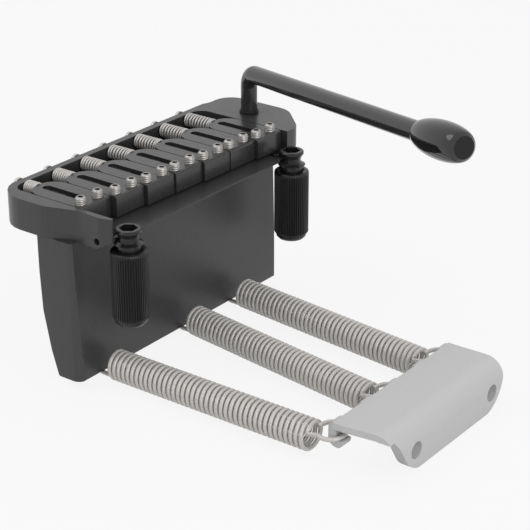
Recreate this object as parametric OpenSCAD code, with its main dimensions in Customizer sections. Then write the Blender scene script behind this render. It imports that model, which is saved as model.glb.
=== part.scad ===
// Seven-string two-post floating tremolo bridge in its left-handed form.
// Units are millimetres and +Z is up. Z = 0 is the guitar top.
// The origin lies midway between the two posts. +X points to the arm, +Y to the tail.

/* [Layout] */
// Distance between the axes of the two posts
post_spacing = 67.06; // [66.4:0.02:67.6]
// Distance between neighbouring strings
string_pitch = 10.67; // [10.6:0.01:10.7]
// Front face of each saddle along Y, from the far side to the arm side
saddle_front = [11.6, 9.8, 8.8, 8.3, 7.5, 7.3, 6.3];

/* [Base plate] */
// Height of the plate's underside above the guitar
plate_bottom = 0.6; // [0.4:0.1:0.8]
// Height of the plate's walls and of the saddle tops
plate_top = 9.0; // [8.8:0.1:9.4]
// Height of the pocket's floor
floor_top = 3.2; // [3.1:0.1:3.3]
// Front edge of the plate along Y
plate_front = 1.3; // [1.0:0.1:1.5]
// Height of the front edge's lower line
edge_low = 2.9; // [2.8:0.1:3.0]
// Where the slanted underside meets the flat underside
bevel_back = 5.5; // [5:0.1:6]
// Outer face of the rear wall along Y
plate_rear = 37.6; // [37.4:0.1:37.8]
// Thickness of the rear wall
rear_wall_t = 2.4; // [2.2:0.1:2.5]
// Gap between the end saddles' places and the walls of the pocket
pocket_gap = 0.105; // [0.06:0.005:0.2]
// Outer side of the plate away from the arm
side_left = -41.7; // [-42:0.1:-41.4]
// Outer side of the lug that carries the arm
side_right = 52.2; // [51.8:0.1:52.8]
// Radius of the notch around each post
notch_r = 4.0; // [3.95:0.05:4.2]

/* [Block] */
// Width of the block along X
block_w = 82.4; // [81.5:0.1:82.8]
// Depth of the block under the plate's underside
block_h = 37.9; // [36:0.1:40]
// Front face of the block at its foot
block_front = 11.0; // [10.8:0.1:11.2]
// Front face of the block at its top
block_front_top = 12.1; // [11.9:0.1:12.4]
// Rear face of the block at its top
block_rear = 23.4; // [23.2:0.1:23.6]
// Diameter of the string passages
string_bore_d = 2.6; // [2.4:0.1:2.8]
// Diameter of the pockets for the string ends
ball_bore_d = 3.8; // [3.6:0.1:3.8]
// Depth of the pockets for the string ends
ball_bore_h = 13; // [10:1:20]

/* [Saddles] */
// Width of a saddle
saddle_w = 10.4; // [10.3:0.02:10.42]
// Length of a saddle from its front face to its round end
saddle_l = 19.7; // [19.4:0.1:19.8]
// Gap between the saddles and the floor
saddle_lift = 0.4; // [0.3:0.1:0.6]
// Width of the string slot
slot_w = 2.5; // [2.3:0.1:2.7]
// Radius of the saddle's top front edge
crest_r = 0.7; // [0.5:0.1:1.2]
// Height of the intonation screws' axis
screw_axis_z = 7.5; // [7.3:0.1:7.6]

/* [Screws] */
// Diameter of an intonation screw's shank
tune_d = 2.2; // [2.1:0.02:2.24]
// Diameter of an intonation screw's head
tune_head_d = 3.6; // [3.4:0.1:3.8]
// Length of an intonation screw's head
tune_head_l = 0.9; // [0.8:0.1:1.2]
// Diameter of a height screw
height_d = 2.83; // [2.7:0.01:2.9]
// Distance of a height screw from the middle of its saddle
height_x = 3.07; // [3:0.01:3.1]
// Distance of the height screws from the saddle's front face
height_y = 2.3; // [2.25:0.05:2.4]
// How far a height screw stands above its saddle
height_up = 2.0; // [1.5:0.1:2.5]

/* [Posts] */
// Diameter of a post's upper flange
flange_d = 6.55; // [6.4:0.05:6.7]
// Height of a post's top
post_top = 5.7; // [5.5:0.1:6]
// Diameter of the waist that the plate pivots on
waist_d = 5.0; // [4.9:0.05:5.1]
// Diameter of a post's lower flange
base_flange_d = 7.4; // [7.2:0.05:7.45]
// Diameter of a post's threaded end
post_thread_d = 6.0; // [5.8:0.1:6.2]
// Diameter of a bushing over its ribs
bushing_d = 9.43; // [9.2:0.01:9.6]
// Diameter of a bushing's plain foot
bushing_foot_d = 8.53; // [8.4:0.01:8.6]
// Length of a bushing
bushing_l = 20.0; // [19.5:0.1:20.5]
// Height of the pivot edge
pivot_z = 2.6; // [2.55:0.05:2.65]

/* [Springs and claw] */
// Outer diameter of a main spring
spring_d = 8.2; // [8:0.05:8.4]
// Diameter of a main spring's wire
wire_d = 1.15; // [1.05:0.05:1.2]
// Turns drawn in a main spring
spring_turns = 19; // [16:1:19]
// Height of the main springs' axis above the block's foot
spring_rise = 3.1; // [3:0.05:3.2]
// Where a main spring's winding starts along Y
spring_front = 7.3; // [6.8:0.1:7.6]
// Where a main spring's winding ends along Y
spring_end = -54.3; // [-54.6:0.1:-54]
// Outer diameter of an intonation spring
tune_spring_d = 4.0; // [3.9:0.02:4.1]
// Diameter of an intonation spring's wire
tune_wire_d = 0.6; // [0.5:0.05:0.6]
// Middle of the claw along X
claw_x = -8.4; // [-9:0.1:-8]
// Half width of the claw at its fingers
claw_half = 25.5; // [25.2:0.1:26]
// Distance between the claw's fingers
finger_pitch = 11.6; // [11.4:0.1:11.8]
// Width of a finger
finger_w = 3.6; // [3.4:0.1:3.7]
// Height of the claw's top above the springs' axis
claw_rise = 6.9; // [6.8:0.1:7]
// Thickness of the claw's sheet
claw_t = 1.7; // [1.6:0.1:2]
// Thickness of the claw's flange
flange_t = 2.9; // [2.7:0.1:3.1]
// Outer face of the claw's flange along Y
claw_face = -77.0; // [-78:0.1:-76]
// Drop of the claw's flange below the springs' axis
claw_drop = 5.5; // [5:0.1:6]
// Diameter of the claw's screw holes
claw_hole_d = 4.4; // [4:0.1:4.8]

/* [Arm] */
// Position of the arm's socket along X
arm_x = 43.9; // [43.7:0.1:44.2]
// Position of the arm's socket along Y
arm_y = 22.4; // [22:0.1:22.8]
// Diameter of the arm's long rod
arm_d = 5.0; // [4.9:0.05:5.1]
// Diameter of the arm's upright end
stem_d = 4.6; // [4.5:0.05:4.7]
// Height at which the post line and the arm line cross
arm_cross_z = 20.5; // [19:0.5:22]
// Rise of the arm above level
arm_rise = 7.5; // [6:0.5:9]
// Heading of the arm in plan at rest
arm_heading = -116.9; // [-120:0.1:-114]
// Length of the arm from the crossing to its end
arm_length = 111.3; // [105:0.1:118]
// Radius of the arm's bend along its middle
arm_bend_r = 4.5; // [4:0.5:6]
// Length of the arm's tip
tip_l = 19.3; // [18:0.1:21]
// Largest diameter of the arm's tip
tip_d = 9.3; // [8.8:0.1:10]
// Diameter of the tip's flat end
tip_flat_d = 5.4; // [5:0.1:6]

/* [Hidden] */
$fn = 48;
eps = 0.01;
run_gap = 0.05;
press_gap = 0.01;
seat_gap = 0.02;
post_x = post_spacing / 2;
strings = len(saddle_front);
pocket_half = strings * string_pitch / 2 + pocket_gap;
string_x = [for (i = [0:strings - 1]) (i - (strings - 1) / 2) * string_pitch];
saddle_bottom = floor_top + saddle_lift;
rear_inner = plate_rear - rear_wall_t;
waist_r = waist_d / 2;
base_r = base_flange_d / 2;
base_low = 1.7;
base_high = 1.8;
flange_low = post_top - 1.1;
flange_lip = 0.25;
stud_foot = -14;
bushing_floor = -16.5;
bushing_rib_foot = 1.9;
socket_flats = 4.1;
socket_depth = 2.4;
socket_turn = 6.9;
insert_y = 5.4;
insert_low = 1.5;
insert_high = 3.5;
boss_r = 1.0;
boss_gap = 0.65;
rim_gap = 0.06;
rim_r = insert_y - waist_r - rim_gap;
rim_half = 0.25;
rim_pocket = 0.05;
rim_edge = 0.3;
waist_low = pivot_z - rim_half - 0.05;
waist_high = pivot_z + 0.9;
grub_r = 0.5;
grub_z = 2.5;
grub_end = pocket_half + 0.45;
mouth_r = 0.9;
mouth_in = pocket_half + 0.15;
string_y = 15.4;
floor_slot_back = 2.4;
floor_slot_w = 3.2;
join_x = [-2.5 * string_pitch, -0.5 * string_pitch, 0.5 * string_pitch, 2.5 * string_pitch];
join_y = 20.5;
join_r = 1.45;
join_head_r = 2.6;
join_head_h = 1.5;
join_l = 11;
hook_y = 12.4;
hook_bore_r = wire_d / 2 + 0.08;
block_foot = plate_bottom - block_h;
hook_top = block_foot + 4.3;
spring_z = block_foot + spring_rise;
block_round = 2.5;
hole_back = 3.5;
tune_reach = 10;
tune_tip = 0.5;
tune_socket_r = 1.0;
tune_socket_h = 0.6;
tune_round = 0.35;
slot_front = 4.6;
slot_rear = 2.1;
height_r = height_d / 2;
height_chamfer = 0.45;
hook_wire_z = block_foot - wire_d / 2 - 0.1;
spring_r = (spring_d - wire_d) / 2;
spring_x = [string_x[0], string_x[3], string_x[5]];
finger_i = [-2, 0, 2];
ring_r = 3.5;
ring_z = spring_z + 3.1;
ring_y = -59.25;
ring_tilt = 8;
ring_start = 150;
ring_step = 30;
claw_top = spring_z + claw_rise;
claw_foot = spring_z - claw_drop;
finger_nose = -59.5;
finger_t = 2.0;
finger_foot = spring_z + 0.3;
finger_tip = -63.5;
finger_tip_top = ring_z - 0.9;
sleeve_r = 2.75;
sleeve_low = 1.0;
sleeve_floor = 1.0;
arm_foot = sleeve_low + sleeve_floor + seat_gap;
ring_h = 0.8;
ring_wall = 0.3;
lock_r = 1.5;
lock_l = 3.4;
lock_z = 4.8;
bend = 90 - arm_rise;
rings_per_turn = 8;

// Helpers for outlines with rounded corners
function unit(v) = v / norm(v);
function corner(a, p, b, r, n) =
  let(u = unit(a - p), w = unit(b - p))
  let(half = acos(max(-1, min(1, u * w))) / 2)
  let(c = p + unit(u + w) * (r / sin(half)), s = p + u * (r / tan(half)), e = p + w * (r / tan(half)))
  let(a0 = atan2(s.y - c.y, s.x - c.x), a1 = atan2(e.y - c.y, e.x - c.x))
  let(sweep = ((a1 - a0 + 540) % 360) - 180)
  [for (i = [0:n]) c + r * [cos(a0 + sweep * i / n), sin(a0 + sweep * i / n)]];
function at(pts, i) = [pts[(i + len(pts)) % len(pts)].x, pts[(i + len(pts)) % len(pts)].y];
function rounded(pts, n = 6) = [
  for (i = [0:len(pts) - 1])
    each (pts[i][2] == 0 ? [at(pts, i)] : corner(at(pts, i - 1), at(pts, i), at(pts, i + 1), pts[i][2], n))
];

// Extrudes an outline given in Y and Z from x0 to x1
module along_x(outline, x0, x1) {
  translate([x0, 0, 0]) rotate([90, 0, 90]) linear_extrude(x1 - x0) polygon(outline);
}

// A long hole with round ends, cut along Z
module long_hole(x, y0, y1, w, z0, z1) {
  translate([x - w / 2, y0, z0]) cube([w, y1 - y0, z1 - z0]);
  translate([x, y0, z0]) cylinder(d = w, h = z1 - z0);
  translate([x, y1, z0]) cylinder(d = w, h = z1 - z0);
}

// A straight rod along +Y from the given point
module rod_y(p, r, l) {
  translate(p) rotate([-90, 0, 0]) cylinder(r = r, h = l);
}

// A straight rod along +X from the given point
module rod_x(p, r, l) {
  translate(p) rotate([0, 90, 0]) cylinder(r = r, h = l);
}

// Wire swept along a path of points
function tangents(p) = [
  for (i = [0:len(p) - 1]) unit(p[min(i + 1, len(p) - 1)] - p[max(i - 1, 0)])
];
function flat_to(v, t) = unit(v - t * (v * t));
function normals(t, n0) = [
  for (i = 0, n = flat_to(n0, t[0]); i < len(t); i = i + 1, n = i < len(t) ? flat_to(n, t[i]) : n) n
];
module wire(path, d, n0, m = 6, d_end = 0) {
  t = tangents(path);
  n = normals(t, n0);
  last = len(path) - 1;
  grow = d_end == 0 ? 0 : d_end - d;
  w = [for (i = [0:last]) d + grow * max(0, min(1, (i - 1) / (last - 2)))];
  points = [
    for (i = [0:last]) for (k = [0:m - 1])
      path[i] + w[i] / 2 * (cos(360 * k / m) * n[i] + sin(360 * k / m) * cross(t[i], n[i]))
  ];
  sides = [
    for (i = [0:last - 1]) for (k = [0:m - 1]) each [
      [m * i + k, m * i + m + k, m * i + (k + 1) % m],
      [m * i + (k + 1) % m, m * i + m + k, m * i + m + (k + 1) % m]
    ]
  ];
  ends = [for (k = [1:m - 2]) each [[0, k, k + 1], [m * last, m * last + k + 1, m * last + k]]];
  polyhedron(points = points, faces = concat(sides, ends), convexity = 10);
}
function least(path, skip, d) = min([
  for (i = [0:len(path) - 1]) for (j = [i + skip:1:len(path) - 1]) norm(path[i] - path[j])
]) - d;

// Paths of the springs
function main_path(i) =
  let(a = [spring_x[i], spring_front], b = [claw_x + finger_i[i] * finger_pitch, spring_end])
  let(u = unit(b - a), v = [-u.y, u.x], n = spring_turns * rings_per_turn, run = norm(b - a))
  let(fx = claw_x + finger_i[i] * finger_pitch)
  let(fall = hook_wire_z - spring_z)
  let(a0 = -90, a1 = 90 + asin(-ring_r * cos(ring_start) / spring_r))
  concat(
    [[a.x, hook_y, hook_top], [a.x, hook_y, hook_wire_z + 1.1], [a.x, hook_y - 0.3, hook_wire_z + 0.3]],
    [[a.x, hook_y - 1.1, hook_wire_z], [a.x, spring_front + 1.4, hook_wire_z]],
    [for (k = [0:n])
      let(s = k / n, w = a0 + (360 * spring_turns + a1 - a0) * s)
      let(r = k == 0 ? -fall : spring_r)
      [
        a.x + u.x * run * s + v.x * r * cos(w),
        a.y + u.y * run * s + v.y * r * cos(w),
        spring_z + r * sin(w)
      ]
    ],
    [for (k = [0:9])
      let(w = ring_start + ring_step * k, dx = ring_r * cos(w))
      [fx + dx, ring_y + ring_r * sin(w), ring_z + dx * tan(ring_tilt)]
    ]
  );
tune_spring_r = (tune_spring_d - tune_wire_d) / 2;
function tongue(i) = saddle_front[i] + saddle_l;
function tune_turns(i) = i == 0 ? 2 : 4;
function tune_path(i) =
  let(dip = saddle_w / 2 - sqrt(pow(saddle_w / 2, 2) - pow(tune_spring_r + tune_wire_d / 2, 2)))
  let(y0 = tongue(i) - dip + seat_gap + tune_wire_d / 2, y1 = rear_inner - seat_gap)
  let(a = y0 + tune_wire_d, b = y1 - tune_wire_d, n = tune_turns(i) * rings_per_turn)
  concat(
    [[string_x[i] + tune_spring_r, y0, screw_axis_z]],
    [for (k = [0:n])
      let(w = 360 * k / rings_per_turn)
      [
        string_x[i] + tune_spring_r * cos(w),
        a + (b - a) * k / n,
        screw_axis_z + tune_spring_r * sin(w)
      ]
    ],
    [[string_x[i] + tune_spring_r, y1, screw_axis_z]]
  );

// Plate that carries everything above the guitar, with the lug for the arm
plate_left_front = -38.4;
plate_right_front = pocket_half - 0.15;
neck = [42.2, 4.4];
lug_front_y = 14.8;
lug_front_r = 8;
lug_rear_r = 5.5;
lug_step = 1.1;
lug_step_x = [41, 43.5];
left_bends = [[side_left, 20.5, 8], [-38.75, 11.5, 8], [-39.2, 4.5, 3]];
left_rear_r = 9;
pocket_corner_r = 3.6;
pocket_over = 5;
plate_outline = rounded([
  [plate_left_front, plate_front, 0.8], [plate_right_front, plate_front, 0],
  [plate_right_front, neck.y, 0], [neck.x, neck.y, 5],
  [side_right, lug_front_y, lug_front_r], [side_right, plate_rear - lug_step, lug_rear_r],
  [lug_step_x[1], plate_rear - lug_step, 2], [lug_step_x[0], plate_rear, 2],
  [side_left, plate_rear, left_rear_r], each left_bends
]);
plate_side = rounded([
  [plate_front, plate_top, 0], [plate_front, edge_low, 0], [bevel_back, plate_bottom, 1],
  [plate_rear, plate_bottom, 2.5], [plate_rear, plate_top, 0.4]
]);
pocket_outline = rounded([
  [-pocket_half, plate_front - pocket_over, 0], [pocket_half, plate_front - pocket_over, 0],
  [pocket_half, rear_inner, pocket_corner_r], [-pocket_half, rear_inner, pocket_corner_r]
]);
module base_plate() {
  color([0.42, 0.42, 0.43])
  difference() {
    intersection() {
      linear_extrude(plate_top + 1) polygon(plate_outline);
      along_x(plate_side, side_left - 1, side_right + 1);
    }
    translate([0, 0, floor_top]) linear_extrude(plate_top) polygon(pocket_outline);
    for (s = [-1, 1]) {
      translate([s * post_x, 0, -1]) cylinder(r = notch_r, h = plate_top + 2);
      translate([s * post_x, insert_y, 0]) cylinder(r = boss_r + boss_gap, h = plate_top);
      translate([s * post_x, insert_y, -1])
        cylinder(r = rim_r + press_gap, h = 1 + pivot_z + rim_half + rim_pocket);
      rod_x([s > 0 ? mouth_in : -mouth_in - 8, insert_y, grub_z], mouth_r, 8);
      rod_x([s > 0 ? post_x : -mouth_in - 1, insert_y, grub_z], grub_r + press_gap, mouth_in + 1 - post_x);
    }
    for (i = [0:strings - 1]) {
      rod_y([string_x[i], rear_inner - 1, screw_axis_z], tune_d / 2 + run_gap, rear_wall_t + 2);
      long_hole(string_x[i], string_y - 0.2, string_y + floor_slot_back, floor_slot_w, 0, plate_top);
    }
    for (x = join_x) {
      translate([x, join_y, 0]) cylinder(r = join_r + run_gap, h = plate_top);
      translate([x, join_y, floor_top - join_head_h])
        cylinder(r1 = join_r + run_gap, r2 = join_head_r + run_gap, h = join_head_h + eps);
    }
    translate([arm_x, arm_y, sleeve_low]) cylinder(r = sleeve_r + press_gap, h = plate_top);
    rod_x([arm_x, arm_y, lock_z], lock_r + press_gap, side_right - arm_x + 1);
  }
}

// Block under the plate with the passages for strings and springs
block_side = rounded([
  [block_front_top, plate_bottom, 0], [block_front, block_foot, 0.4], [block_rear - 5, block_foot, 0.8],
  [block_rear - 2.9, block_foot + 6.7, 6], [block_rear - 0.7, block_foot + 17.3, 6],
  [block_rear - 0.1, plate_bottom - 9.6, 0], [block_rear, plate_bottom, 0]
]);
block_plan = rounded([
  [-block_w / 2, block_front, block_round], [block_w / 2, block_front, 1],
  [block_w / 2, block_rear + 1, 0], [-block_w / 2, block_rear + 1, 0]
]);
module tremolo_block() {
  color([0.3, 0.3, 0.31])
  difference() {
    intersection() {
      along_x(block_side, -block_w / 2, block_w / 2);
      translate([0, 0, block_foot - 1]) linear_extrude(block_h + 3) polygon(block_plan);
    }
    for (x = string_x) {
      translate([x, string_y, block_foot - 1]) cylinder(d = string_bore_d, h = block_h + 2);
      translate([x, string_y, block_foot - 1]) cylinder(d = ball_bore_d, h = ball_bore_h + 1);
      translate([x, hook_y, block_foot - 1]) cylinder(r = hook_bore_r, h = hook_top - block_foot + 2);
    }
    for (x = join_x)
      translate([x, join_y, plate_bottom - join_l]) cylinder(r = join_r + press_gap, h = join_l + 1);
  }
}

// Countersunk screws that hold the block to the plate
module block_screws() {
  color([0.25, 0.25, 0.26])
  for (x = join_x) translate([x, join_y, 0])
    difference() {
      union() {
        translate([0, 0, floor_top - join_l]) cylinder(r = join_r, h = join_l - 0.1);
        translate([0, 0, floor_top - join_head_h])
          cylinder(r1 = join_r, r2 = join_head_r, h = join_head_h);
      }
      translate([0, 0, floor_top - join_head_h + 0.2]) cylinder(r = 1.15, h = 4, $fn = 6);
    }
}

// Hard pins whose thin rims bear on the waists of the posts
module knife_inserts() {
  color([0.5, 0.5, 0.5])
  for (s = [-1, 1]) translate([s * post_x, 0, 0]) union() {
    translate([0, insert_y, 0]) rotate_extrude() polygon([
      [0, pivot_z - rim_half], [rim_r - rim_edge, pivot_z - rim_half], [rim_r, pivot_z - 0.1],
      [rim_r, pivot_z + 0.1], [rim_r - rim_edge, pivot_z + rim_half], [boss_r, pivot_z + rim_half],
      [boss_r, insert_high - 0.2], [boss_r - 0.2, insert_high], [0, insert_high]
    ]);
    difference() {
      translate([0, insert_y, insert_low]) cylinder(r = rim_r, h = pivot_z - insert_low);
      translate([0, 0, insert_low - 1]) cylinder(r = notch_r, h = pivot_z);
    }
  }
}

// Small set screws that lock the two pins from the sides
module insert_grubs() {
  start = post_x + rim_r + seat_gap;
  color([0.2, 0.2, 0.2])
  for (s = [-1, 1])
    difference() {
      rod_x([s > 0 ? start : -grub_end, insert_y, grub_z], grub_r, grub_end - start);
      rod_x([s * grub_end - 0.7, insert_y, grub_z], 0.28, 1.4, $fn = 6);
    }
}

// One saddle with its string slot and its threaded bores
module saddle(i) {
  x = string_x[i];
  y = saddle_front[i];
  tip = tongue(i);
  top = plate_top;
  side = rounded([
    [y, top, crest_r], [y, saddle_bottom, 0], [tip, saddle_bottom, 0], [tip, top, 0.5]
  ]);
  color([0.4, 0.4, 0.41])
  difference() {
    intersection() {
      along_x(side, x - saddle_w / 2, x + saddle_w / 2);
      union() {
        translate([x - saddle_w / 2, y, saddle_bottom - 1]) cube([saddle_w, saddle_l - saddle_w / 2, top]);
        translate([x, tip - saddle_w / 2, saddle_bottom - 1]) cylinder(d = saddle_w, h = top);
      }
    }
    long_hole(x, y + slot_front + slot_w / 2, tip - slot_rear - slot_w / 2, slot_w, 0, top + 1);
    rod_y([x, y + hole_back, screw_axis_z], tune_d / 2 + run_gap, saddle_l);
    for (s = [-1, 1])
      translate([x + s * height_x, y + height_y, 0]) cylinder(r = height_r + run_gap, h = top + 1);
  }
}

// Screw that sets a saddle's place along its string
module intonation_screw(i) {
  x = string_x[i];
  foot = saddle_front[i] + tune_reach;
  head = plate_rear + seat_gap;
  color([0.3, 0.3, 0.31])
  difference() {
    union() {
      rod_y([x, foot + tune_tip, screw_axis_z], tune_d / 2, plate_rear - foot);
      translate([x, foot, screw_axis_z]) rotate([-90, 0, 0])
        cylinder(r1 = tune_d / 2 - 0.4, r2 = tune_d / 2, h = tune_tip);
      rod_y([x, head, screw_axis_z], tune_head_d / 2, tune_head_l - tune_round);
      translate([x, head + tune_head_l - tune_round, screw_axis_z]) rotate([-90, 0, 0])
        cylinder(r1 = tune_head_d / 2, r2 = tune_head_d / 2 - tune_round, h = tune_round);
    }
    translate([x, head + tune_head_l - tune_socket_h, screw_axis_z]) rotate([-90, 0, 0])
      cylinder(r = tune_socket_r, h = tune_socket_h + 1, $fn = 6);
  }
}

// Spring between a saddle and the rear wall
module intonation_spring(i) {
  color([0.7, 0.68, 0.64]) wire(tune_path(i), tune_wire_d, [1, 0, 0.3]);
}

// Set screw on which a saddle stands
module height_screw(i, s) {
  top = plate_top + height_up;
  color([0.75, 0.74, 0.72])
  translate([string_x[i] + s * height_x, saddle_front[i] + height_y, 0])
  difference() {
    rotate_extrude() polygon([
      [0, floor_top + seat_gap], [height_r - 0.6, floor_top + seat_gap], [height_r, floor_top + 0.6],
      [height_r, top - height_chamfer], [height_r - height_chamfer, top], [0, top]
    ]);
    translate([0, 0, top - 1.8]) cylinder(r = 0.87, h = 3, $fn = 6);
  }
}

// Post with the waist that the plate pivots on
module post(s) {
  color([0.72, 0.71, 0.69])
  translate([s * post_x, 0, 0])
  difference() {
    rotate_extrude() polygon([
      [0, stud_foot], [post_thread_d / 2 - 0.6, stud_foot], [post_thread_d / 2, stud_foot + 0.6],
      [post_thread_d / 2, base_low], [base_r, base_low], [base_r, base_high],
      [waist_r, waist_low], [waist_r, waist_high],
      [flange_d / 2 - flange_lip, flange_low], [flange_d / 2, flange_low + flange_lip],
      [flange_d / 2, post_top - flange_lip], [flange_d / 2 - flange_lip, post_top], [0, post_top]
    ]);
    translate([0, 0, post_top - socket_depth]) rotate([0, 0, socket_turn])
      cylinder(r = socket_flats / 2 / cos(30), h = socket_depth + 1, $fn = 6);
  }
}

// Ribbed bushing that sits in the guitar's body
module bushing(s) {
  foot = -bushing_l;
  r = bushing_foot_d / 2;
  color([0.1, 0.1, 0.1])
  translate([s * post_x, 0, 0])
  difference() {
    rotate_extrude() polygon([
      [0, foot], [r - 1.9, foot], [r - 0.8, foot + 0.35], [r - 0.2, foot + 1.0], [r, foot + 1.8],
      [r, foot + bushing_rib_foot], [bushing_d / 2 - 0.2, foot + bushing_rib_foot],
      [bushing_d / 2, foot + bushing_rib_foot + 0.3],
      [bushing_d / 2, -0.4], [bushing_d / 2 - 0.4, 0], [0, 0]
    ]);
    translate([0, 0, bushing_floor]) cylinder(r = post_thread_d / 2 + run_gap, h = 30);
  }
}

// Long spring from the block's foot to a finger of the claw
module main_spring(i) {
  color([0.66, 0.64, 0.6]) wire(main_path(i), wire_d, [1, 0.2, 0]);
}

// Sheet claw with five hooked fingers and two screw holes
claw_side = rounded([
  [-60.7, claw_top, 0.5], [claw_face, claw_top, 5], [claw_face, claw_foot, 0.4],
  [claw_face + flange_t, claw_foot, 0.4],
  [claw_face + flange_t, claw_top - claw_t, 2],
  [-60.7, claw_top - claw_t, 0.5]
], 8);
claw_left = claw_x - claw_half;
claw_right = claw_x + claw_half;
claw_slant_start = 3.2;
claw_slant = 9.6;
claw_step = 1.4;
claw_flare = 0.2;
claw_plan = rounded([
  [claw_left, -60, 0], [claw_left, -64, 3], [claw_left + claw_step, -74, 3],
  [claw_left + claw_step, claw_face - 1, 0],
  [claw_right + claw_flare, claw_face - 1, 0], [claw_right + claw_flare, -74, 3],
  [claw_right, -64, 3], [claw_right, -60, 0]
]);
claw_front = rounded([
  [claw_left - 2, claw_top + 1, 0], [claw_left - 2, claw_top - claw_t - 0.2, 0],
  [claw_left + claw_slant_start, claw_top - claw_t - 0.2, 0], [claw_left + claw_slant, claw_foot, 9],
  [claw_right + claw_flare, claw_foot, 9], [claw_right + claw_flare, claw_top + 1, 0]
], 10);
finger_root = -62.5;
finger_side = rounded([
  [finger_root, claw_top - 0.02, 0], [finger_nose, claw_top - 0.02, 1.6], [finger_nose, finger_foot, 2.3],
  [finger_tip, finger_foot, 1.5], [finger_tip, finger_tip_top, 0.3],
  [finger_nose - finger_t, finger_tip_top, 0.4], [finger_nose - finger_t, claw_top - claw_t, 0.3],
  [finger_root, claw_top - claw_t, 0]
]);
claw_hole_x = [-22.6, 11.9];
claw_hole_z = spring_z - 0.1;
module spring_claw() {
  color([0.72, 0.72, 0.72])
  difference() {
    union() {
      intersection() {
        along_x(claw_side, claw_left - 1, claw_right + 1);
        translate([0, 0, claw_foot - 1]) linear_extrude(20) polygon(claw_plan);
        translate([0, -59, 0]) rotate([90, 0, 0]) linear_extrude(20) polygon(claw_front);
      }
      for (k = [-2:2]) translate([claw_x + k * finger_pitch, 0, 0])
        along_x(finger_side, -finger_w / 2, finger_w / 2);
    }
    for (x = claw_hole_x) rod_y([x, claw_face - 1, claw_hole_z], claw_hole_d / 2, flange_t + 2);
  }
}

// Arm: upright end, bend and long rod
module in_arm_frame() {
  translate([arm_x, arm_y, 0]) rotate([0, 0, arm_heading]) children();
}
arm_bend_z = arm_cross_z - arm_bend_r * tan(bend / 2);
tip_bore_l = 13;
elbow_overlap = 0.8;
stem_tip = 0.5;
elbow_path = concat(
  [[0, 0, arm_bend_z - elbow_overlap]],
  [for (k = [0:12])
    let(w = bend * k / 12)
    [arm_bend_r * (1 - cos(w)), 0, arm_bend_z + arm_bend_r * sin(w)]
  ],
  [[
    arm_bend_r * (1 - cos(bend)) + elbow_overlap * sin(bend), 0,
    arm_bend_z + arm_bend_r * sin(bend) + elbow_overlap * cos(bend)
  ]]
);
module along_arm(s) {
  in_arm_frame() translate([0, 0, arm_cross_z]) rotate([0, bend, 0]) translate([0, 0, s]) children();
}
module arm() {
  color([0.3, 0.3, 0.31]) union() {
    in_arm_frame() {
      translate([0, 0, arm_foot]) cylinder(d1 = stem_d - 1, d2 = stem_d, h = stem_tip);
      translate([0, 0, arm_foot + stem_tip]) cylinder(d = stem_d, h = arm_bend_z - arm_foot - stem_tip);
      wire(elbow_path, stem_d - 2 * press_gap, [1, 0, 0], 24, arm_d - 2 * press_gap);
    }
    along_arm(arm_bend_r * tan(bend / 2))
      cylinder(d = arm_d, h = arm_length - tip_l + tip_bore_l - arm_bend_r * tan(bend / 2));
  }
}

// Plastic tip pushed over the end of the arm
tip_neck_r = arm_d / 2 + 0.1;
tip_belly = 0.55;
tip_swell = 0.6;
function tip_radius(s) = s < tip_belly
  ? tip_neck_r + (tip_d / 2 - tip_neck_r) * pow(sin(90 * s / tip_belly), tip_swell)
  : tip_flat_d / 2 + (tip_d / 2 - tip_flat_d / 2) * sqrt(1 - pow((s - tip_belly) / (1 - tip_belly), 2));
module arm_tip() {
  color([0.12, 0.12, 0.12])
  along_arm(arm_length - tip_l) difference() {
    rotate_extrude() polygon(concat(
      [[0, 0]], [for (k = [0:24]) [tip_radius(k / 24), tip_l * k / 24]], [[0, tip_l]]
    ));
    translate([0, 0, -1]) cylinder(d = arm_d + 2 * press_gap, h = tip_bore_l + 1 + seat_gap);
  }
}

// Plastic sleeve that guides the arm in the lug
module arm_sleeve() {
  color([0.08, 0.08, 0.08])
  translate([arm_x, arm_y, sleeve_low + seat_gap]) difference() {
    cylinder(r = sleeve_r, h = plate_top - sleeve_low - seat_gap);
    translate([0, 0, sleeve_floor - seat_gap]) cylinder(d = stem_d + 2 * run_gap, h = plate_top);
  }
}

// Soft ring around the foot of the arm
module arm_ring() {
  color([0.07, 0.07, 0.07])
  translate([arm_x, arm_y, plate_top + seat_gap]) difference() {
    cylinder(r = stem_d / 2 + run_gap + ring_wall, h = ring_h);
    translate([0, 0, -1]) cylinder(d = stem_d + 2 * run_gap, h = ring_h + 2);
  }
}

// Set screw that presses on the sleeve
module arm_grub() {
  start = arm_x + sleeve_r + seat_gap;
  color([0.2, 0.2, 0.2])
  difference() {
    rod_x([start, arm_y, lock_z], lock_r, lock_l);
    rod_x([start + lock_l - 1.4, arm_y, lock_z], 0.85, 3, $fn = 6);
  }
}

echo("least gap in main springs", [for (i = [0:2]) least(main_path(i), 6, wire_d)]);
echo("least gap in intonation springs", [for (i = [0:strings - 1]) least(tune_path(i), 5, tune_wire_d)]);

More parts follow.
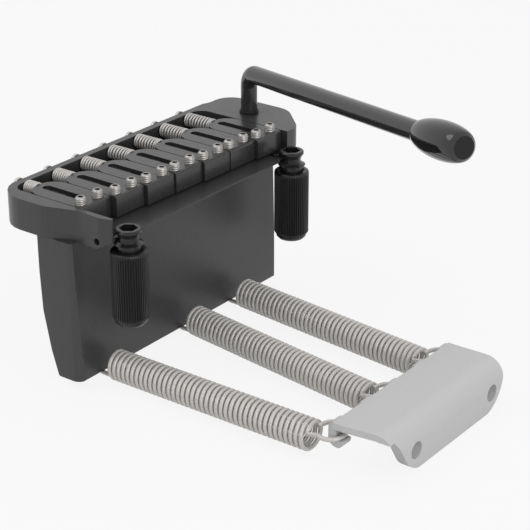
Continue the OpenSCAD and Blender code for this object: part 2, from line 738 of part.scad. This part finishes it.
base_plate();
tremolo_block();
block_screws();
knife_inserts();
insert_grubs();
saddle(0);  // saddle_1
saddle(1);  // saddle_2
saddle(2);  // saddle_3
saddle(3);  // saddle_4
saddle(4);  // saddle_5
saddle(5);  // saddle_6
saddle(6);  // saddle_7
intonation_screw(0);  // intonation_screw_1
intonation_screw(1);  // intonation_screw_2
intonation_screw(2);  // intonation_screw_3
intonation_screw(3);  // intonation_screw_4
intonation_screw(4);  // intonation_screw_5
intonation_screw(5);  // intonation_screw_6
intonation_screw(6);  // intonation_screw_7
intonation_spring(0);  // intonation_spring_1
intonation_spring(1);  // intonation_spring_2
intonation_spring(2);  // intonation_spring_3
intonation_spring(3);  // intonation_spring_4
intonation_spring(4);  // intonation_spring_5
intonation_spring(5);  // intonation_spring_6
intonation_spring(6);  // intonation_spring_7
height_screw(0, -1);  // height_screw_1_left
height_screw(0, 1);  // height_screw_1_right
height_screw(1, -1);  // height_screw_2_left
height_screw(1, 1);  // height_screw_2_right
height_screw(2, -1);  // height_screw_3_left
height_screw(2, 1);  // height_screw_3_right
height_screw(3, -1);  // height_screw_4_left
height_screw(3, 1);  // height_screw_4_right
height_screw(4, -1);  // height_screw_5_left
height_screw(4, 1);  // height_screw_5_right
height_screw(5, -1);  // height_screw_6_left
height_screw(5, 1);  // height_screw_6_right
height_screw(6, -1);  // height_screw_7_left
height_screw(6, 1);  // height_screw_7_right
post(-1);  // post_left
post(1);  // post_right
bushing(-1);  // bushing_left
bushing(1);  // bushing_right
main_spring(0);  // main_spring_left
main_spring(1);  // main_spring_middle
main_spring(2);  // main_spring_right
spring_claw();
arm();
arm_tip();
arm_sleeve();
arm_ring();
arm_grub();
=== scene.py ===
"""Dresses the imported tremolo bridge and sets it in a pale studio."""
import math

import bpy
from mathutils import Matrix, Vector


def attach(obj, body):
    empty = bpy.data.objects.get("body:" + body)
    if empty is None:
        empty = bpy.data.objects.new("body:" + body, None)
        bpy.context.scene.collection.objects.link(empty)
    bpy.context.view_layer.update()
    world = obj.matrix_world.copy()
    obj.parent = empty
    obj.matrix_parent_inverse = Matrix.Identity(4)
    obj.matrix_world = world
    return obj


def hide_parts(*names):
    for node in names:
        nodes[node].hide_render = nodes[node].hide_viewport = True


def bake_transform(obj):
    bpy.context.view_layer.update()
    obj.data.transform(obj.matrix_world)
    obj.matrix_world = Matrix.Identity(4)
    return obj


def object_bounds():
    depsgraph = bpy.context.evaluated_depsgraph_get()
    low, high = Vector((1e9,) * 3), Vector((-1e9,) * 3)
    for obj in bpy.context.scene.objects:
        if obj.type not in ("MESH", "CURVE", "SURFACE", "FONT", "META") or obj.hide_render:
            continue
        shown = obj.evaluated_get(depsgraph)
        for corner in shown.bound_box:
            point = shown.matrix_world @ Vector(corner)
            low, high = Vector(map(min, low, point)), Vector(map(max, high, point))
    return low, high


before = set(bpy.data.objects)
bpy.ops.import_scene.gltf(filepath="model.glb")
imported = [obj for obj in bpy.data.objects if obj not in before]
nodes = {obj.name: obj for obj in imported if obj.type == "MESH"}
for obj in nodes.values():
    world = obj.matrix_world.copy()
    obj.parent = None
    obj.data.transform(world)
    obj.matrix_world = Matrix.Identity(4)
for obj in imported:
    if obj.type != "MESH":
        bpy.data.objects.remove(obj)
cad_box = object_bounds()
scene = bpy.context.scene
MM = 0.001

# Camera at the photograph's place
camera_data = bpy.data.cameras.new("camera")
camera_data.lens = 116.90
camera_data.sensor_width = 36.0
camera_data.clip_start = 0.01
camera_data.clip_end = 20.0
camera = bpy.data.objects.new("camera", camera_data)
scene.collection.objects.link(camera)
camera.location = Vector((-320.017, -256.351, 168.246)) * MM
camera.rotation_euler = (math.radians(90 - 24.237), 0, math.radians(-53.107))
scene.camera = camera
scene.view_settings.view_transform = "Standard"

# Sizes that the source also uses, in millimetres
PITCH = 10.67
FRONTS = [11.6, 9.8, 8.8, 8.3, 7.5, 7.3, 6.3]
STRING_X = [(i - 3) * PITCH for i in range(7)]
SADDLE_L = 19.7
SADDLE_W = 10.4
REAR_INNER = 35.2
PLATE_REAR = 37.6
SCREW_Z = 7.5
POST_X = 33.53
HEIGHT_SPREAD, HEIGHT_BACK = 3.07, 2.3
SPRING_X = [STRING_X[0], STRING_X[3], STRING_X[5]]
CLAW_X = -8.4
FINGER_PITCH = 11.6


# Shape helpers
def mesh_object(name, verts, faces):
    """A smooth mesh object from points in millimetres."""
    mesh = bpy.data.meshes.new(name)
    mesh.from_pydata([tuple(c * MM for c in v) for v in verts], [], faces)
    mesh.validate()
    mesh.update()
    for p in mesh.polygons:
        p.use_smooth = True
    obj = bpy.data.objects.new(name, mesh)
    scene.collection.objects.link(obj)
    return obj


def loft(rings):
    """Verts and faces of a closed skin over rings of equal count."""
    n = len(rings[0])
    verts = [p for ring in rings for p in ring]
    faces = []
    for j in range(len(rings) - 1):
        for k in range(n):
            a, b = j * n + k, j * n + (k + 1) % n
            faces.append((a, b, b + n, a + n))
    verts.append(tuple(sum(p[i] for p in rings[0]) / n for i in range(3)))
    c = len(verts) - 1
    faces += [(c, (k + 1) % n, k) for k in range(n)]
    verts.append(tuple(sum(p[i] for p in rings[-1]) / n for i in range(3)))
    c, o = len(verts) - 1, (len(rings) - 1) * n
    faces += [(c, o + k, o + (k + 1) % n) for k in range(n)]
    return verts, faces


def join(parts):
    """One part from several."""
    verts, faces = [], []
    for v, f in parts:
        o = len(verts)
        verts += v
        faces += [tuple(i + o for i in face) for face in f]
    return verts, faces


def tube(path, radius, sides=10):
    """A round tube along points, with its frame carried along the path."""
    pts = [Vector(p) for p in path]
    last = len(pts) - 1
    tangents = [(pts[min(i + 1, last)] - pts[max(i - 1, 0)]).normalized() for i in range(last + 1)]
    normal = tangents[0].orthogonal().normalized()
    rings = []
    for p, t in zip(pts, tangents):
        normal = (normal - t * normal.dot(t)).normalized()
        side = t.cross(normal)
        rings.append([
            tuple(p + radius * (math.cos(w) * normal + math.sin(w) * side))
            for w in (2 * math.pi * k / sides for k in range(sides))
        ])
    return loft(rings)


def soften(path, reach, steps=5):
    """Rounds the corners of an open path of points with short curves."""
    pts = [Vector(p) for p in path]
    out = [pts[0]]
    for a, b, c in zip(pts, pts[1:], pts[2:]):
        d = min(reach, (a - b).length * 0.49, (c - b).length * 0.49)
        s, e = b + (a - b).normalized() * d, b + (c - b).normalized() * d
        for k in range(steps + 1):
            t = k / steps
            out.append(s * (1 - t) ** 2 + b * (2 * t * (1 - t)) + e * t ** 2)
    out.append(pts[-1])
    return [tuple(p) for p in out]


def circle(r, z, n):
    """A ring of n points at height z."""
    return [(r * math.cos(2 * math.pi * k / n), r * math.sin(2 * math.pi * k / n), z) for k in range(n)]


def hexagon(flats, z, n):
    """A hexagon sampled at n points by angle, n a multiple of 6."""
    ring = []
    for k in range(n):
        w = 2 * math.pi * k / n
        local = w % (math.pi / 3) - math.pi / 6
        r = flats / 2 / math.cos(local)
        ring.append((r * math.cos(w), r * math.sin(w), z))
    return ring


def thread_rings(r, z0, z1, pitch, depth, n, per_turn=8):
    """Rings of a screw thread from z0 up to z1."""
    count = max(2, round((z1 - z0) / pitch * per_turn))
    rings = []
    for j in range(count + 1):
        z = z0 + (z1 - z0) * j / count
        ring = []
        for k in range(n):
            w = 2 * math.pi * k / n
            f = (z / pitch - k / n) % 1.0
            cut = abs(2 * f - 1)
            ring.append(((r - depth * cut) * math.cos(w), (r - depth * cut) * math.sin(w), z))
        rings.append(ring)
    return rings


def place(part, origin):
    """Moves a part made at the origin."""
    verts, faces = part
    return [tuple(o + c for o, c in zip(origin, v)) for v in verts], faces


def lay_back(part):
    """Turns a part made along Z to lie along Y."""
    verts, faces = part
    return [(x, z, -y) for x, y, z in verts], faces


def keep_edges(obj, angle=32):
    """Marks the sharp edges of a smooth mesh by their angle."""
    mesh = obj.data
    for p in mesh.polygons:
        p.use_smooth = True
    mesh.set_sharp_from_angle(angle=math.radians(angle))
    return obj


# Materials
def material(name, low, high, rough, metal=0.0, grain=1500.0, bump=0.02, bump_scale=4000.0,
             spec=0.5, painted_shade_reach=0.0, painted_shade_axis=None):
    """Principled metal or plastic with mottled colour, uneven gloss and a fine skin.

    The shade reach, in metres, is how far gloss drops in corners, slots and gaps as painted shade, and the
    shade axis the axis along which faces look that lose it as painted shade.
    """
    m = bpy.data.materials.new(name)
    m.use_nodes = True
    n, l = m.node_tree.nodes, m.node_tree.links
    shader = n["Principled BSDF"]
    shader.inputs["Metallic"].default_value = metal
    shader.inputs["Specular IOR Level"].default_value = spec
    coords = n.new("ShaderNodeTexCoord")
    mottle = n.new("ShaderNodeTexNoise")
    mottle.inputs["Scale"].default_value = grain
    mottle.inputs["Detail"].default_value = 5
    l.new(coords.outputs["Object"], mottle.inputs["Vector"])
    ramp = n.new("ShaderNodeValToRGB")
    ramp.color_ramp.elements[0].position = 0.3
    ramp.color_ramp.elements[0].color = (*low, 1)
    ramp.color_ramp.elements[1].position = 0.7
    ramp.color_ramp.elements[1].color = (*high, 1)
    l.new(mottle.outputs["Fac"], ramp.inputs["Fac"])
    l.new(ramp.outputs["Color"], shader.inputs["Base Color"])
    gloss = n.new("ShaderNodeTexNoise")
    gloss.inputs["Scale"].default_value = grain * 0.35
    gloss.inputs["Detail"].default_value = 3
    l.new(coords.outputs["Object"], gloss.inputs["Vector"])
    span = n.new("ShaderNodeMapRange")
    span.inputs["To Min"].default_value = max(0.02, rough - 0.06)
    span.inputs["To Max"].default_value = rough + 0.06
    l.new(gloss.outputs["Fac"], span.inputs["Value"])
    l.new(span.outputs["Result"], shader.inputs["Roughness"])
    fine = n.new("ShaderNodeTexNoise")
    fine.inputs["Scale"].default_value = bump_scale
    fine.inputs["Detail"].default_value = 4
    l.new(coords.outputs["Object"], fine.inputs["Vector"])
    raise_ = n.new("ShaderNodeBump")
    raise_.inputs["Strength"].default_value = bump
    raise_.inputs["Distance"].default_value = 0.0002
    l.new(fine.outputs["Fac"], raise_.inputs["Height"])
    l.new(raise_.outputs["Normal"], shader.inputs["Normal"])
    # Painted shade: gloss drops where ambient occlusion finds corners, slots and gaps, so they read darker.
    if painted_shade_reach:
        painted_shade_ao = n.new("ShaderNodeAmbientOcclusion")
        painted_shade_ao.samples = 4
        painted_shade_ao.inputs["Distance"].default_value = painted_shade_reach
        painted_shade_spec = n.new("ShaderNodeMapRange")
        painted_shade_spec.inputs["From Min"].default_value = 0.35
        painted_shade_spec.inputs["From Max"].default_value = 0.85
        painted_shade_spec.inputs["To Min"].default_value = spec * 0.2
        painted_shade_spec.inputs["To Max"].default_value = spec
        l.new(painted_shade_ao.outputs["AO"], painted_shade_spec.inputs["Value"])
        l.new(painted_shade_spec.outputs["Result"], shader.inputs["Specular IOR Level"])
    # Painted shade: faces that look along the given axis lose gloss and read darker.
    if painted_shade_axis:
        facing = n.new("ShaderNodeVectorMath")
        facing.operation = "DOT_PRODUCT"
        facing.inputs[1].default_value = painted_shade_axis
        l.new(coords.outputs["Normal"], facing.inputs[0])
        size = n.new("ShaderNodeMath")
        size.operation = "ABSOLUTE"
        l.new(facing.outputs["Value"], size.inputs[0])
        side = n.new("ShaderNodeMapRange")
        side.inputs["From Min"].default_value = 0.85
        side.inputs["From Max"].default_value = 0.97
        side.inputs["To Min"].default_value = 1.0 if painted_shade_reach else spec
        side.inputs["To Max"].default_value = 0.4 if painted_shade_reach else spec * 0.4
        l.new(size.outputs["Value"], side.inputs["Value"])
        if painted_shade_reach:
            both = n.new("ShaderNodeMath")
            both.operation = "MULTIPLY"
            l.new(painted_shade_spec.outputs["Result"], both.inputs[0])
            l.new(side.outputs["Result"], both.inputs[1])
            l.new(both.outputs[0], shader.inputs["Specular IOR Level"])
        else:
            l.new(side.outputs["Result"], shader.inputs["Specular IOR Level"])
    return m


def grey(v, warm=0.0):
    """A grey, leaning towards warm or cold."""
    return (v * (1 + warm), v, v * (1 - warm))


# Painted shade: the plate loses gloss in its corners and slots.
plate_black = material("plate_black", grey(0.030), grey(0.038), 0.31, bump=0.04, spec=0.47, painted_shade_reach=0.006)
block_black = material("block_black", grey(0.029), grey(0.042), 0.38, grain=2600, bump=0.22, bump_scale=5200)
# Painted shade: the saddles lose gloss in their gaps and on their side faces.
saddle_black = material("saddle_black", grey(0.028), grey(0.035), 0.27, bump=0.03, painted_shade_reach=0.005, painted_shade_axis=(1, 0, 0))
screw_black_and_painted_shade = material("screw_black_and_painted_shade", grey(0.010), grey(0.016), 0.4, spec=0.3, bump=0.05)
post_black = material("post_black", grey(0.010), grey(0.014), 0.22, spec=0.4, bump=0.03)
screw_steel = material("screw_steel", grey(0.50, 0.04), grey(0.60, 0.04), 0.34, metal=0.75, bump=0.04)
height_steel = material("height_steel", grey(0.36, 0.04), grey(0.45, 0.04), 0.42, metal=0.75, bump=0.04)
spring_steel = material(
    "spring_steel", grey(0.50, 0.035), grey(0.57, 0.035), 0.5, metal=0.35, spec=0.3, bump=0.05,
)
bushing_black = material("bushing_black", grey(0.010), grey(0.014), 0.3, spec=0.32, bump=0.05)
claw_grey = material("claw_grey", grey(0.53), grey(0.55), 0.5, spec=0.15, bump=0.02)
arm_black = material("arm_black", grey(0.024), grey(0.030), 0.16, bump=0.02)
ARM_AXIS = (-0.4485, -0.8841, 0.1305)
# Painted shade: the tip's end face, which looks along the arm, loses gloss.
tip_black = material("tip_black", grey(0.010), grey(0.013), 0.06, bump=0.0, spec=0.62, painted_shade_axis=ARM_AXIS)
sleeve_black = material("sleeve_black", grey(0.010), grey(0.016), 0.5, spec=0.3, bump=0.05)


def dress(obj, mat):
    """Gives an object its material."""
    obj.data.materials.clear()
    obj.data.materials.append(mat)
    return obj


def ease(obj, width):
    """Small rounds on the edges of a kept solid."""
    mesh = obj.data
    if "custom_normal" in mesh.attributes:
        mesh.attributes.remove(mesh.attributes["custom_normal"])
    for p in mesh.polygons:
        p.use_smooth = True
    mesh.set_sharp_from_angle(angle=math.radians(35))
    weld = obj.modifiers.new("weld", "WELD")
    weld.merge_threshold = 0.000002
    bevel = obj.modifiers.new("bevel", "BEVEL")
    bevel.width = width * MM
    bevel.segments = 2
    bevel.limit_method = "ANGLE"
    bevel.angle_limit = math.radians(35)
    bevel.harden_normals = True
    bevel.use_clamp_overlap = True
    return obj


# Kept solids
kept = [
    ("base_plate", plate_black, 0.22),
    ("tremolo_block", block_black, 0.3),
    ("block_screws", screw_black_and_painted_shade, 0.05),
    ("knife_inserts", post_black, 0.08),
    ("insert_grubs", screw_black_and_painted_shade, 0.05),
    ("post_left", post_black, 0.08),
    ("post_right", post_black, 0.08),
    ("spring_claw", claw_grey, 0.45),
    ("arm", arm_black, 0.0),
    ("arm_tip", tip_black, 0.15),
    ("arm_sleeve", sleeve_black, 0.05),
    ("arm_ring", sleeve_black, 0.12),
    ("arm_grub", screw_black_and_painted_shade, 0.05),
]
kept += [(f"saddle_{n}", saddle_black, 0.22) for n in range(1, 8)]
for name, mat, width in kept:
    dress(nodes[name], mat)
    if width:
        ease(nodes[name], width)

# Main springs with their full count of close turns, each in two halves that meet between the bodies
WIRE = 1.15
SPRING_R = (8.2 - WIRE) / 2
SPRING_Z, SPRING_FRONT, SPRING_END = -34.2, 7.3, -54.3
HOOK_Y, HOOK_TOP, HOOK_WIRE_Z = 12.4, -33.0, -37.3 - WIRE / 2 - 0.1
RING_Z, RING_R, RING_Y, RING_TILT = -31.1, 3.5, -59.25, 8
RING_START, RING_STOP = 150, 450
TURNS, STEPS = 41, 28


def ring_point(fx, w):
    """A point of a spring's end ring round the finger at fx."""
    dx = RING_R * math.cos(math.radians(w))
    return (fx + dx, RING_Y + RING_R * math.sin(math.radians(w)), RING_Z + dx * math.tan(math.radians(RING_TILT)))


for i, side in enumerate(("left", "middle", "right")):
    a = Vector((SPRING_X[i], SPRING_FRONT))
    fx = CLAW_X + (i - 1) * 2 * FINGER_PITCH
    b = Vector((fx, SPRING_END))
    u = (b - a).normalized()
    v = Vector((-u.y, u.x))
    run = (b - a).length
    rise = -RING_R * math.cos(math.radians(RING_START))
    a0, a1 = -90.0, 90 + math.degrees(math.asin(rise / SPRING_R))
    total = 360 * TURNS + a1 - a0
    front = soften([
        (a.x, HOOK_Y, HOOK_TOP), (a.x, HOOK_Y, HOOK_WIRE_Z), (a.x, SPRING_FRONT + 1.4, HOOK_WIRE_Z),
        (a.x + 0.1, SPRING_FRONT + 0.5, SPRING_Z - SPRING_R),
    ], 0.8)[:-1]
    coil = []
    for k in range(1, TURNS * STEPS + 1):
        s = k / (TURNS * STEPS)
        w = math.radians(a0 + total * s)
        coil.append((
            a.x + u.x * run * s + v.x * SPRING_R * math.cos(w),
            a.y + u.y * run * s + v.y * SPRING_R * math.cos(w),
            SPRING_Z + SPRING_R * math.sin(w),
        ))
    ring = [ring_point(fx, w) for w in range(RING_START, RING_STOP + 1, 10)]
    back = soften([coil[-1], ring[0], ring[1]], 0.9)[1:-1] + ring[1:]
    half = len(coil) // 2
    middle = coil[half]
    halves = (
        ("front", front + coil[:half + 1], ("bridge", "mounting"), (a.x, HOOK_Y, SPRING_Z), middle),
        ("back", coil[half:] + back, ("mounting", "claw"), middle, (fx, RING_Y, RING_Z)),
    )
    for end, path, bodies, start, stop in halves:
        obj = mesh_object(f"main_spring_{side}_{end}", *tube(path, WIRE / 2, 12))
        dress(obj, spring_steel)
        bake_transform(obj)
        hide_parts(f"main_spring_{side}")

# Intonation springs
TUNE_WIRE = 0.6
TUNE_R = (4.0 - TUNE_WIRE) / 2
TUNE_PITCHES = (0.64, 0.7, 0.8, 0.82, 0.84, 0.86, 0.87)
TUNE_STEPS = 24
CLOSED = TUNE_WIRE * 0.9
for i in range(7):
    dip = SADDLE_W / 2 - math.sqrt((SADDLE_W / 2) ** 2 - (TUNE_R + TUNE_WIRE / 2) ** 2)
    y0 = FRONTS[i] + SADDLE_L - dip + 0.02 + TUNE_WIRE / 2
    y1 = REAR_INNER - 0.02 - TUNE_WIRE / 2
    turns = max(5, round((y1 - y0) / TUNE_PITCHES[i]))
    lead = (y1 - y0 - 2 * CLOSED) / (turns - 2)
    path = []
    for k in range(TUNE_STEPS * turns + 1):
        t = k / TUNE_STEPS
        if t < 1:
            y = y0 + CLOSED * t
        elif t > turns - 1:
            y = y1 - CLOSED * (turns - t)
        else:
            y = y0 + CLOSED + lead * (t - 1)
        w = 2 * math.pi * t
        path.append((STRING_X[i] + TUNE_R * math.cos(w), y, SCREW_Z + TUNE_R * math.sin(w)))
    obj = mesh_object(f"intonation_spring_{i + 1}_wound", *tube(path, TUNE_WIRE / 2, 8))
    dress(obj, spring_steel)
    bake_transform(obj)
    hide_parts(f"intonation_spring_{i + 1}")

# Intonation screws with threads and small socket heads
TUNE_D = 2.2
head = PLATE_REAR + 0.02
r = TUNE_D / 2
for i in range(7):
    foot = FRONTS[i] + 10
    rings = [circle(r - 0.4, foot, 16)]
    rings += thread_rings(r, foot + 0.4, REAR_INNER, 0.45, 0.2, 16, 6)
    rings += [circle(r - 0.1, REAR_INNER + 0.05, 16), circle(r - 0.1, head, 16)]
    shank = loft(rings)
    cap = [
        circle(0.6, head, 24),
        circle(1.7, head, 24),
        circle(1.8, head + 0.08, 24),
        circle(1.8, head + 0.6, 24),
        circle(1.74, head + 0.75, 24),
        circle(1.6, head + 0.87, 24),
        circle(1.42, head + 0.9, 24),
        hexagon(1.74, head + 0.9, 24),
        hexagon(1.7, head + 0.85, 24),
        hexagon(1.7, head + 0.3, 24),
    ]
    part = place(lay_back(join([shank, loft(cap)])), (STRING_X[i], 0, SCREW_Z))
    obj = keep_edges(mesh_object(f"intonation_screw_{i + 1}_threaded", *part))
    dress(obj, screw_steel)
    # Painted shade: the shank, sunk in the plate's slot, is coloured black while the head stays steel.
    obj.data.materials.append(screw_black_and_painted_shade)
    for p in obj.data.polygons:
        p.material_index = int(p.center.y < PLATE_REAR * MM)
    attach(obj, f"screw_{i + 1}")
    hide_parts(f"intonation_screw_{i + 1}")

# Height screws: threads and hex sockets
HEIGHT_R = 2.83 / 2
TOP = 11.0
for i in range(7):
    for s, side in ((-1, "left"), (1, "right")):
        middle = Vector((STRING_X[i] + s * HEIGHT_SPREAD, FRONTS[i] + HEIGHT_BACK))
        rings = [circle(HEIGHT_R - 0.6, 3.22, 30), circle(HEIGHT_R, 3.8, 30), circle(HEIGHT_R, 8.4, 30)]
        rings += thread_rings(HEIGHT_R, 8.5, TOP - 0.6, 0.5, 0.09, 30, 8)
        rings += [circle(HEIGHT_R - 0.1, TOP - 0.35, 30), circle(HEIGHT_R - 0.45, TOP, 30)]
        rings += [hexagon(1.42, TOP, 30), hexagon(1.36, TOP - 0.08, 30), hexagon(1.36, TOP - 1.6, 30)]
        rings += [circle(0.2, TOP - 2.0, 30)]
        part = place(loft(rings), (*middle, 0))
        obj = keep_edges(mesh_object(f"height_screw_{i + 1}_{side}_threaded", *part), 40)
        dress(obj, height_steel)
        # Painted shade: the inside of the hex socket is coloured black.
        obj.data.materials.append(screw_black_and_painted_shade)
        for p in obj.data.polygons:
            inside = (p.center.xy - middle * MM).length < 0.9 * MM
            p.material_index = int(inside and 5 * MM < p.center.z < (TOP - 0.05) * MM)
        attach(obj, f"height_{i + 1}_{side}")
        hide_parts(f"height_screw_{i + 1}_{side}")

# Bushings with their ribs
RIBS, PER_RIB = 48, 8
R_OUT, R_IN, R_FOOT = 4.715, 4.38, 4.265
FOOT = -20.0


def rib_ring(r_top, r_low, z):
    """A ring at height z whose ribs reach r_top from r_low."""
    ring = []
    for k in range(RIBS * PER_RIB):
        w = 2 * math.pi * k / (RIBS * PER_RIB)
        f = (k % PER_RIB) / PER_RIB
        crown = min(1.0, max(0.0, 1.35 - abs(2 * f - 1) * 1.9 + 0.15))
        r = r_low + (r_top - r_low) * crown
        ring.append((r * math.cos(w), r * math.sin(w), z))
    return ring


n = RIBS * PER_RIB
bushing = loft([
    circle(2.4, FOOT, n),
    circle(R_FOOT - 1.7, FOOT + 0.05, n),
    circle(R_FOOT - 0.8, FOOT + 0.35, n),
    circle(R_FOOT - 0.2, FOOT + 1.0, n),
    circle(R_FOOT, FOOT + 1.8, n),
    circle(R_FOOT, FOOT + 1.95, n),
    rib_ring(R_OUT - 0.2, R_FOOT, FOOT + 2.0),
    rib_ring(R_OUT, R_IN, FOOT + 2.3),
    rib_ring(R_OUT, R_IN, -1.2),
    rib_ring(R_OUT, R_OUT - 0.1, -0.6),
    circle(R_OUT, -0.5, n),
    circle(R_OUT - 0.08, -0.2, n),
    circle(R_OUT - 0.35, 0, n),
    circle(3.25, 0, n),
    circle(3.06, -0.2, n),
    circle(3.06, -16.4, n),
])
for x, side in ((-POST_X, "left"), (POST_X, "right")):
    obj = keep_edges(mesh_object(f"bushing_{side}_ribbed", *place(bushing, (x, 0, 0))), 50)
    dress(obj, bushing_black)
    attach(obj, "mounting")
    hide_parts(f"bushing_{side}")

# Pale floor that shows white to the camera and keeps a soft shadow
FLOOR_DROP = 0.0002
bpy.ops.mesh.primitive_plane_add(size=6, location=(0, 0, cad_box[0][2] - FLOOR_DROP))
floor = bpy.context.object
floor.name = "floor"
m = bpy.data.materials.new("floor")
m.use_nodes = True
n, l = m.node_tree.nodes, m.node_tree.links
shader = n["Principled BSDF"]
shader.inputs["Base Color"].default_value = (0.7, 0.7, 0.7, 1)
shader.inputs["Roughness"].default_value = 0.9
glow = n.new("ShaderNodeEmission")
glow.inputs["Color"].default_value = (0.975, 0.975, 0.975, 1)
light_path = n.new("ShaderNodeLightPath")
most = n.new("ShaderNodeMath")
most.operation = "MAXIMUM"
l.new(light_path.outputs["Is Camera Ray"], most.inputs[0])
l.new(light_path.outputs["Is Glossy Ray"], most.inputs[1])
share = n.new("ShaderNodeMath")
share.operation = "MULTIPLY"
share.inputs[1].default_value = 0.9
l.new(most.outputs[0], share.inputs[0])
mix = n.new("ShaderNodeMixShader")
l.new(share.outputs[0], mix.inputs["Fac"])
l.new(shader.outputs["BSDF"], mix.inputs[1])
l.new(glow.outputs["Emission"], mix.inputs[2])
l.new(mix.outputs["Shader"], n["Material Output"].inputs["Surface"])
floor.data.materials.append(m)

# World: white for the eye and for gloss, a gradient of soft light for the rest
world = bpy.data.worlds.new("world")
scene.world = world
world.use_nodes = True
n, l = world.node_tree.nodes, world.node_tree.links
back = n["Background"]
back.inputs["Color"].default_value = (1, 1, 1, 1)
coords = n.new("ShaderNodeTexCoord")
split = n.new("ShaderNodeSeparateXYZ")
l.new(coords.outputs["Generated"], split.inputs["Vector"])
height = n.new("ShaderNodeMapRange")
height.inputs["From Min"].default_value = 0.0
height.inputs["From Max"].default_value = 0.9
height.inputs["To Min"].default_value = 0.12
height.inputs["To Max"].default_value = 0.97
l.new(split.outputs["Z"], height.inputs["Value"])
light_path = n.new("ShaderNodeLightPath")
pick = n.new("ShaderNodeMix")
pick.data_type = "FLOAT"
seen = n.new("ShaderNodeMath")
seen.operation = "MAXIMUM"
l.new(light_path.outputs["Is Camera Ray"], seen.inputs[0])
l.new(light_path.outputs["Is Glossy Ray"], seen.inputs[1])
l.new(seen.outputs[0], pick.inputs["Factor"])
l.new(height.outputs["Result"], pick.inputs["A"])
pick.inputs["B"].default_value = 0.955
l.new(pick.outputs["Result"], back.inputs["Strength"])


# Lamps
def lamp(name, place_at, aim, size, power):
    """A round soft lamp that looks at aim."""
    data = bpy.data.lights.new(name, "AREA")
    data.shape = "DISK"
    data.size = size
    data.energy = power
    obj = bpy.data.objects.new(name, data)
    scene.collection.objects.link(obj)
    obj.location = place_at
    obj.rotation_euler = (Vector(aim) - Vector(place_at)).to_track_quat("-Z", "Y").to_euler()
    return obj


lamp("key", (-0.35, 0.45, 0.75), (0, 0, -0.01), 0.6, 1.6)
lamp("fill", (-0.35, -0.8, 0.3), (0, 0, -0.02), 0.7, 3.0)
